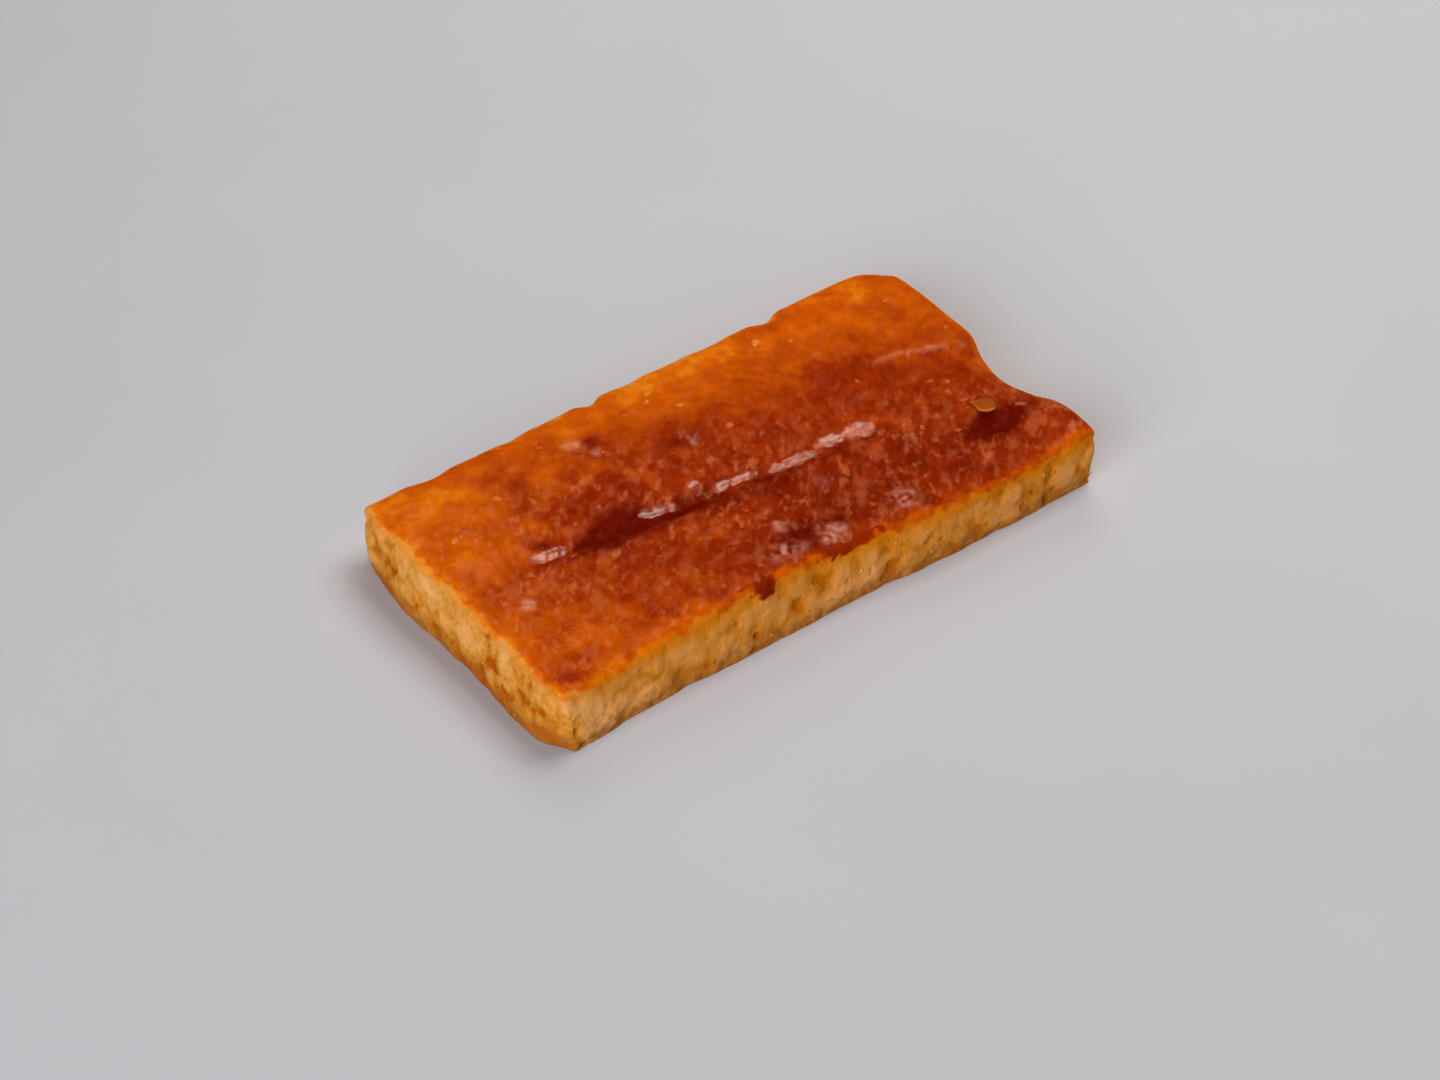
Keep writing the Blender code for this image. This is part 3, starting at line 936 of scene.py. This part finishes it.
def shape_crumb(bm, rim, sizes):
    """Gives the crumb its clumps, pores and browned base, and notes them for the finish, with painted shade
    in the gaps, the pores and towards the foot.
    """
    layers = float_layers(bm, *CRUMB_VALUES)
    pores = scattered_pores(bm, sizes.pore_count)
    tree = pore_lookup(pores)
    grain = sizes.crumb_grain / MM
    depth = sizes.crumb_relief / MM
    outward = foot_directions(bm)
    eased = eased_normals(bm, EASING_PASSES)
    moves = {}
    for vert in bm.verts:
        place = vert.co / MM
        x, y, z = place
        gap, rim_z = rim.near(vert.co)
        gap /= MM
        below = rim_z / MM - z
        is_top = vert.normal.z > 0.5
        is_base = z < 0.02 and vert not in outward
        raised = Vector((x, y, max(z, 0.8)))
        clump = clump_relief(raised, grain) + 0.6 * waver(x, y, 0.4 * raised.z, 5.0)
        calm = (1.0 - 0.6 * smoothstep(2.0, 0.3, below)) * (0.4 + 0.6 * smoothstep(0.0, 4.0, z))
        direction = outward.get(vert, eased[vert.index].normalized())
        level = Vector(eased[vert.index][:2]).length if not is_top else 1.0
        corner = smoothstep(0.7, 0.97, level)
        pore = 0.0 if is_top or z < 0.4 else corner * pore_depth(raised, pores, tree)
        move = min(0.1, depth * (clump - 0.35) * calm * corner - pore)
        if is_top:
            direction = vert.normal
            move = 0.15 * depth * clump - sunk_under_skin(x, y, gap)
        moves[vert] = direction * move * MM
        if is_base:
            moves[vert] = Vector((0.0, 0.0, 0.12 * MM * max(0.0, waver(x, y, 0.0, 5.0, 2.0))))
        # Tone of the crumb: painted shade in the gaps and pores, a random drift, painted shade towards the
        # foot of the left end, and lighter along the sides near the left end
        left = left_share(x)
        drift = (0.18 - 0.07 * left) * waver(x, y, 0.6 * z, 4.5, 6.0)
        near_left = falling(-73.0, -35.0, x)
        low = 0.19 * left * falling(3.0, 13.5, z) - 0.3 * near_left * (1.0 - left)
        vert[layers["relief"]] = 0.56 + (0.33 - 0.12 * left) * clump - 0.4 * pore + drift - low
        vert[layers["soak"]] = 0.0 if is_base else side_soak(x, y, max(0.0, below)) * (1.0 - 0.15 * near_left)
        inward = gap if is_top else -max(0.0, below)
        vert[layers["browning"]] = rim_browning(x, y, z, max(0.0, inward))
        ragged = ragged_inset(x, y) + 1.5 * waver(x, y, z, 3.0, 4.5) + 0.5 * waver(x, y, z, 1.1, 2.5)
        crust = smoothstep(-2.2, 0.4, inward - ragged) + 1.8 * hanging_share(x, y, z)
        vert[layers["crust"]] = min(1.0, crust)
        # 1 on the underside; on the sides, painted shade that grows towards the foot
        vert[layers["base"]] = 1.0 if is_base else 0.65 * falling(0.0, 8.5, z)
    for vert, move in moves.items():
        vert.co += move


class BASBOUSA_OT_crumb(Operator):
    """Make the body of the slice in moist, coarse crumb"""

    bl_idname = "basbousa.crumb"
    bl_label = "Crumb"

    def execute(self, context):
        noise.seed_set(CLUMP_SEED)
        scene = context.scene
        rim = Rim()
        bm = rounded(merged_solid(), 1)
        divide_visible(bm, rim)
        close_base(bm)
        shape_crumb(bm, rim, scene.slice_sizes)
        bmesh.ops.recalc_face_normals(bm, faces=bm.faces)
        finished("basbousa_crumb", bm, crumb_finish("moist_crumb", scene.slice_colours))
        return {"FINISHED"}


# The baked skin


def skin_relief(x, y):
    """Lumps of the baked skin, from about -1 to 1, gathered where the syrup stands."""
    lumps = 0.8 * waver(x, y, 0.0, 4.2, 1.0) + 0.7 * waver(x, y, 0.0, 2.0, 2.0)
    pimples = 0.7 * (0.45 - noise.voronoi(Vector((x, y, 0.0)) / 2.2)[0][0])
    gathered = 1.3 * min(1.0, sum_of_places(WET_PLACES, x, y)) * waver(x, y, 0.0, 2.6, 12.0)
    return lumps + pimples + gathered + 0.9 * fold_share(x, y)


def groove_folds(x, y):
    """Small folds of the skin across the back flank of the groove, in millimetres."""
    offset = groove_offset(x, y)
    flatter = 0.35 * bell((offset - 3.4) / 2.4)
    folds = 0.35 * bell((offset - 1.0) / 3.0) * waver(x - 0.6 * offset, 0.35 * offset, 0.0, 2.2, 9.0)
    shelf = 0.2 * strip_share(x, y) * bell((offset - 1.05) / 1.2)
    lip = 0.5 * strip_share(x, y) * falling(-44.0, -36.0, x) * bell((offset - 2.4) / 2.4)
    filled = 0.3 * bell(offset / 1.6)
    return groove_share(x) * (flatter + folds + filled) + shelf + lip


def top_sheet():
    """The top of the slice up to its rim, as an open sheet with rounded facets."""
    bm = merged_solid()
    top = set(top_faces(bm))
    bmesh.ops.delete(bm, geom=[face for face in bm.faces if face not in top], context="FACES")
    return rounded(bm, 2)


def shape_skin(bm, rim, ground, sizes):
    """Gives the skin its lumps, folds and sunk edge, and notes how baked and how wet it is."""
    layers = float_layers(bm, "browning", "wetness", "cloudiness", "crinkle")
    height = sizes.skin_ruggedness / MM
    moves = {}
    edges = {}
    for vert in bm.verts:
        x, y, z = vert.co / MM
        gap = rim.near(vert.co)[0] / MM
        move = height * skin_relief(x, y) * smoothstep(0.0, 2.0, gap) + groove_folds(x, y)
        moves[vert] = vert.normal * (move - sum_of_places(PITS, x, y)) * MM
        if gap < 3.0:
            edges[vert] = gap - ragged_inset(x, y)
        vert[layers["browning"]] = rim_browning(x, y, z, gap)
        vert[layers["wetness"]] = wetness(x, y)
        vert[layers["cloudiness"]] = cloudiness(x, y)
        vert[layers["crinkle"]] = crinkle(x, y)
    for vert, move in moves.items():
        vert.co += move
    outside = []
    for vert, inward in edges.items():
        hit, normal = found_below(ground, vert.co.x, vert.co.y)
        if hit is None or inward < -0.9 or normal.z < 0.3 or hit.z < vert.co.z - 1.5 * MM:
            outside.append(vert)
        else:
            dived = hit.z - 0.18 * MM
            vert.co.z = dived + (vert.co.z - dived) * smoothstep(-0.5, 1.3, inward)
    bmesh.ops.delete(bm, geom=outside, context="VERTS")
    loose = [vert for vert in bm.verts if not vert.link_faces]
    bmesh.ops.delete(bm, geom=loose, context="VERTS")
    bm.normal_update()


def thicken(bm, thickness):
    """Gives the open sheet a thickness below its surface, and closes it."""
    made = bmesh.ops.extrude_face_region(bm, geom=list(bm.faces), use_keep_orig=True)["geom"]
    for item in made:
        if isinstance(item, bmesh.types.BMVert):
            item.co.z -= thickness
    bmesh.ops.recalc_face_normals(bm, faces=bm.faces)


class BASBOUSA_OT_skin(Operator):
    """Make the baked, syrup-glazed skin that lies on the crumb"""

    bl_idname = "basbousa.skin"
    bl_label = "Baked skin"

    def execute(self, context):
        scene = context.scene
        bm = top_sheet()
        shape_skin(bm, Rim(), piece_ground("basbousa_crumb"), scene.slice_sizes)
        thicken(bm, scene.slice_sizes.skin_thickness)
        finished("basbousa_skin", bm, skin_finish("glazed_skin", scene.slice_colours))
        return {"FINISHED"}


# Grains, flake and loose crumbs


def lying(normal, turn):
    """How a small piece is turned to lie on a surface, with a turn of its own in radians."""
    return Vector((0.0, 0.0, 1.0)).rotation_difference(normal) @ Quaternion((0.0, 0.0, 1.0), turn)


def add_lump(bm, place, normal, turn, size, segments=8, rings=5):
    """A small uneven lump of three given radii that lies on a surface. Returns its vertices."""
    lump = bmesh.ops.create_uvsphere(bm, u_segments=segments, v_segments=rings, radius=1.0)["verts"]
    stand = lying(normal, turn)
    for vert in lump:
        uneven = 1.0 + 0.7 * noise.noise(1.1 * vert.co + place / MM)
        vert.co = place + stand @ Vector([vert.co[axis] * size[axis] * uneven for axis in range(3)])
    return lump


class BASBOUSA_OT_grains(Operator):
    """Scatter semolina grains that show in the glaze"""

    bl_idname = "basbousa.grains"
    bl_label = "Semolina grains"

    def execute(self, context):
        sizes = context.scene.slice_sizes
        ground = piece_ground("basbousa_skin")
        rim = Rim()
        draw = Random(GRAIN_SEED)
        bm = bmesh.new()
        layers = float_layers(bm, "browning", "wetness", "paleness")
        grains = [(x, y, 0.58 * long, 0.58 * wide) for x, y, long, wide in LARGE_GRAINS]
        while len(grains) < sizes.grain_count:
            x, y = draw.uniform(-72.0, 72.0), draw.uniform(-38.0, 38.0)
            in_groove = abs(groove_offset(x, y)) < 2.5 and groove_share(x) > 0.0
            near_rim = rim.near(Vector((x, y, 0.0)) * MM)[0] < 2.5 * MM
            if in_groove or near_rim or draw.random() > 0.1 + browning(x, y):
                continue
            long = sizes.grain_size / MM * (0.33 + 0.35 * draw.random() ** 1.5)
            grains.append((x, y, long, long * draw.uniform(0.5, 0.85)))
        for x, y, long, wide in grains:
            hit, normal = found_below(ground, x * MM, y * MM)
            if hit is None:
                continue
            high = 0.36 * wide
            size = Vector((long, wide, high)) * MM
            turn = draw.uniform(0.0, pi)
            tone = max(0.05, browning(x, y) - draw.uniform(0.05, 0.2))
            share = draw.uniform(0.0, 0.2) + 0.1 * smoothstep(0.7, 1.0, long)
            for vert in add_lump(bm, hit - normal * 0.5 * high * MM, normal, turn, size, 10, 6):
                vert[layers["browning"]] = tone
                vert[layers["wetness"]] = 0.5
                vert[layers["paleness"]] = share
        finished("semolina_grains", bm, grain_finish("glazed_grain", context.scene.slice_colours))
        return {"FINISHED"}


class BASBOUSA_OT_flake(Operator):
    """Make the flake of nut at the pit near the right end"""

    bl_idname = "basbousa.flake"
    bl_label = "Nut flake"

    def execute(self, context):
        ground = piece_ground("basbousa_skin")
        hit, normal = found_below(ground, FLAKE_PLACE[0] * MM, FLAKE_PLACE[1] * MM)
        if hit is None:
            raise RuntimeError("the flake finds no skin below it")
        bm = bmesh.new()
        layers = float_layers(bm, "rim")
        flake = bmesh.ops.create_icosphere(bm, subdivisions=4, radius=1.0)["verts"]
        stand = lying(normal, radians(FLAKE_TURN))
        for vert in flake:
            long, wide, high = vert.co
            out = (long * long + wide * wide) ** 0.5
            # Paler rim on one side of the flake: partly thinner nut, partly a painted highlight
            vert[layers["rim"]] = smoothstep(0.5, 1.0, out) * smoothstep(-0.5, 0.4, wide + 0.3 * high)
            taper = 1.0 - 0.8 * smoothstep(-0.2, 1.0, long)
            ridge = 0.2 * bell(wide / 0.5) * bell(long / 0.9)
            waved = 0.25 * noise.noise(vert.co * 1.6 + Vector((4.0, 2.0, 0.0)))
            shaped = Vector((3.1 * long, 2.5 * wide * taper + 0.3 * long * long, 0.4 * high + ridge + waved))
            vert.co = hit + normal * 0.25 * MM + stand @ shaped * MM
        finished("nut_flake", bm, nut_finish("roasted_nut", context.scene.slice_colours))
        return {"FINISHED"}


class BASBOUSA_OT_loose_crumbs(Operator):
    """Scatter crumbs that cling to the sides"""

    bl_idname = "basbousa.loose_crumbs"
    bl_label = "Loose crumbs"

    def execute(self, context):
        sizes = context.scene.slice_sizes
        draw = Random(LOOSE_CRUMB_SEED)
        body = bpy.data.objects["basbousa_crumb"].data
        low, high = (place * MM for place in LOOSE_CRUMB_SPAN)
        sides = [face for face in body.polygons if abs(face.normal.z) < 0.5 and low < face.center.z < high]
        bm = bmesh.new()
        layers = float_layers(bm, *CRUMB_VALUES)
        for _ in range(sizes.loose_count):
            face = draw.choice(sides)
            long = (0.25 + 0.45 * draw.random() ** 2) * MM
            size = (long, long * draw.uniform(0.6, 0.9), long * draw.uniform(0.5, 0.8))
            place = face.center - face.normal * 0.35 * size[2]
            tone = draw.uniform(0.35, 0.7)
            for vert in add_lump(bm, place, face.normal.copy(), draw.uniform(0.0, pi), size):
                vert[layers["relief"]] = tone
                vert[layers["soak"]] = 0.3
        finished("loose_crumbs", bm, crumb_finish("loose_crumb", context.scene.slice_colours))
        return {"FINISHED"}


# Stage


def soft_light(name, direction, distance, size, colour, power):
    """A square soft light that faces the slice from a direction."""
    light = bpy.data.lights.new(name, "AREA")
    light.shape = "SQUARE"
    light.size = size
    light.energy = power
    light.color = colour
    holder = placed(name, light)
    away = Vector(direction).normalized()
    holder.location = away * distance
    holder.rotation_euler = away.to_track_quat("Z", "Y").to_euler()


def add_floor(colour):
    """A plain, round floor, a little clouded."""
    bm = bmesh.new()
    bmesh.ops.create_circle(bm, cap_ends=True, segments=96, radius=FLOOR_RADIUS)
    mesh = mesh_of("floor", bm)
    made, tree, shader, place = new_finish("pale_floor")
    clouds = speckle(tree, place, 90.0, 4.0)
    lighter = tuple(min(1.0, 1.04 * part) for part in colour)
    darker = tuple(0.95 * part for part in colour)
    feed(tree, shader, {"Base Color": blended(tree, clouds, darker, lighter), "Roughness": 0.8})
    mesh.materials.append(made)
    floor = placed("floor", mesh)


def add_camera(lens):
    """The camera, with a focal length in millimetres."""
    camera = bpy.data.cameras.new("camera")
    camera.lens = lens
    camera.sensor_width = 36.0
    camera.clip_start = 0.01
    camera.clip_end = 50.0
    holder = placed("camera", camera)
    back = Vector((0.0, -1.0, 0.0))
    back.rotate(Matrix.Rotation(radians(-CAMERA_TILT), 3, "X"))
    back.rotate(Matrix.Rotation(radians(CAMERA_AZIMUTH), 3, "Z"))
    holder.location = CAMERA_PLACE
    holder.rotation_euler = (-back).to_track_quat("-Z", "Y").to_euler()
    bpy.context.scene.camera = holder


def add_surroundings():
    """Soft light from all around: pale near the horizon and dim above, so that the glaze keeps its colour."""
    world = bpy.data.worlds.new("studio")
    world.use_nodes = True
    tree = world.node_tree
    place = add_node(tree, "ShaderNodeTexCoord").outputs["Generated"]
    height = add_node(tree, "ShaderNodeSeparateXYZ", {"Vector": place}).outputs["Z"]
    strength = remapped(tree, height, 0.06, 0.30, 0.30, 0.03)
    feed(tree, tree.nodes["Background"], {"Color": (1.0, 1.0, 1.0, 1.0), "Strength": strength})
    bpy.context.scene.world = world


class BASBOUSA_OT_stage(Operator):
    """Set up the pale floor, the soft lights and the camera"""

    bl_idname = "basbousa.stage"
    bl_label = "Stage"

    def execute(self, context):
        settings = context.scene.stage_settings
        add_floor(settings.floor_colour)
        add_surroundings()
        for name, light in LIGHTS.items():
            soft_light(name, *light, getattr(settings, name + "_power"))
        add_camera(settings.lens)
        context.scene.view_settings.view_transform = "Standard"
        return {"FINISHED"}


class BASBOUSA_PT_panel(Panel):
    bl_label = "Basbousa slice"
    bl_idname = "BASBOUSA_PT_panel"
    bl_space_type = "VIEW_3D"
    bl_region_type = "UI"
    bl_category = "Basbousa"

    def draw(self, context):
        for group in (context.scene.slice_sizes, context.scene.slice_colours, context.scene.stage_settings):
            box = self.layout.box()
            for name in group.bl_rna.properties.keys():
                if name not in ("rna_type", "name"):
                    box.prop(group, name)
        for operator in OPERATORS:
            self.layout.operator(operator.bl_idname)


GROUPS = (SliceSizes, SliceColours, StageSettings)
OPERATORS = (
    BASBOUSA_OT_crumb,
    BASBOUSA_OT_skin,
    BASBOUSA_OT_grains,
    BASBOUSA_OT_flake,
    BASBOUSA_OT_loose_crumbs,
    BASBOUSA_OT_stage,
)


def register():
    for made in (*GROUPS, *OPERATORS, BASBOUSA_PT_panel):
        bpy.utils.register_class(made)
    bpy.types.Scene.slice_sizes = PointerProperty(type=SliceSizes)
    bpy.types.Scene.slice_colours = PointerProperty(type=SliceColours)
    bpy.types.Scene.stage_settings = PointerProperty(type=StageSettings)


def unregister():
    del bpy.types.Scene.stage_settings
    del bpy.types.Scene.slice_colours
    del bpy.types.Scene.slice_sizes
    for made in reversed((*GROUPS, *OPERATORS, BASBOUSA_PT_panel)):
        bpy.utils.unregister_class(made)


def main():
    register()
    bpy.ops.basbousa.crumb()
    bpy.ops.basbousa.skin()
    bpy.ops.basbousa.grains()
    bpy.ops.basbousa.flake()
    bpy.ops.basbousa.loose_crumbs()
    bpy.ops.basbousa.stage()


if __name__ == "__main__":
    main()
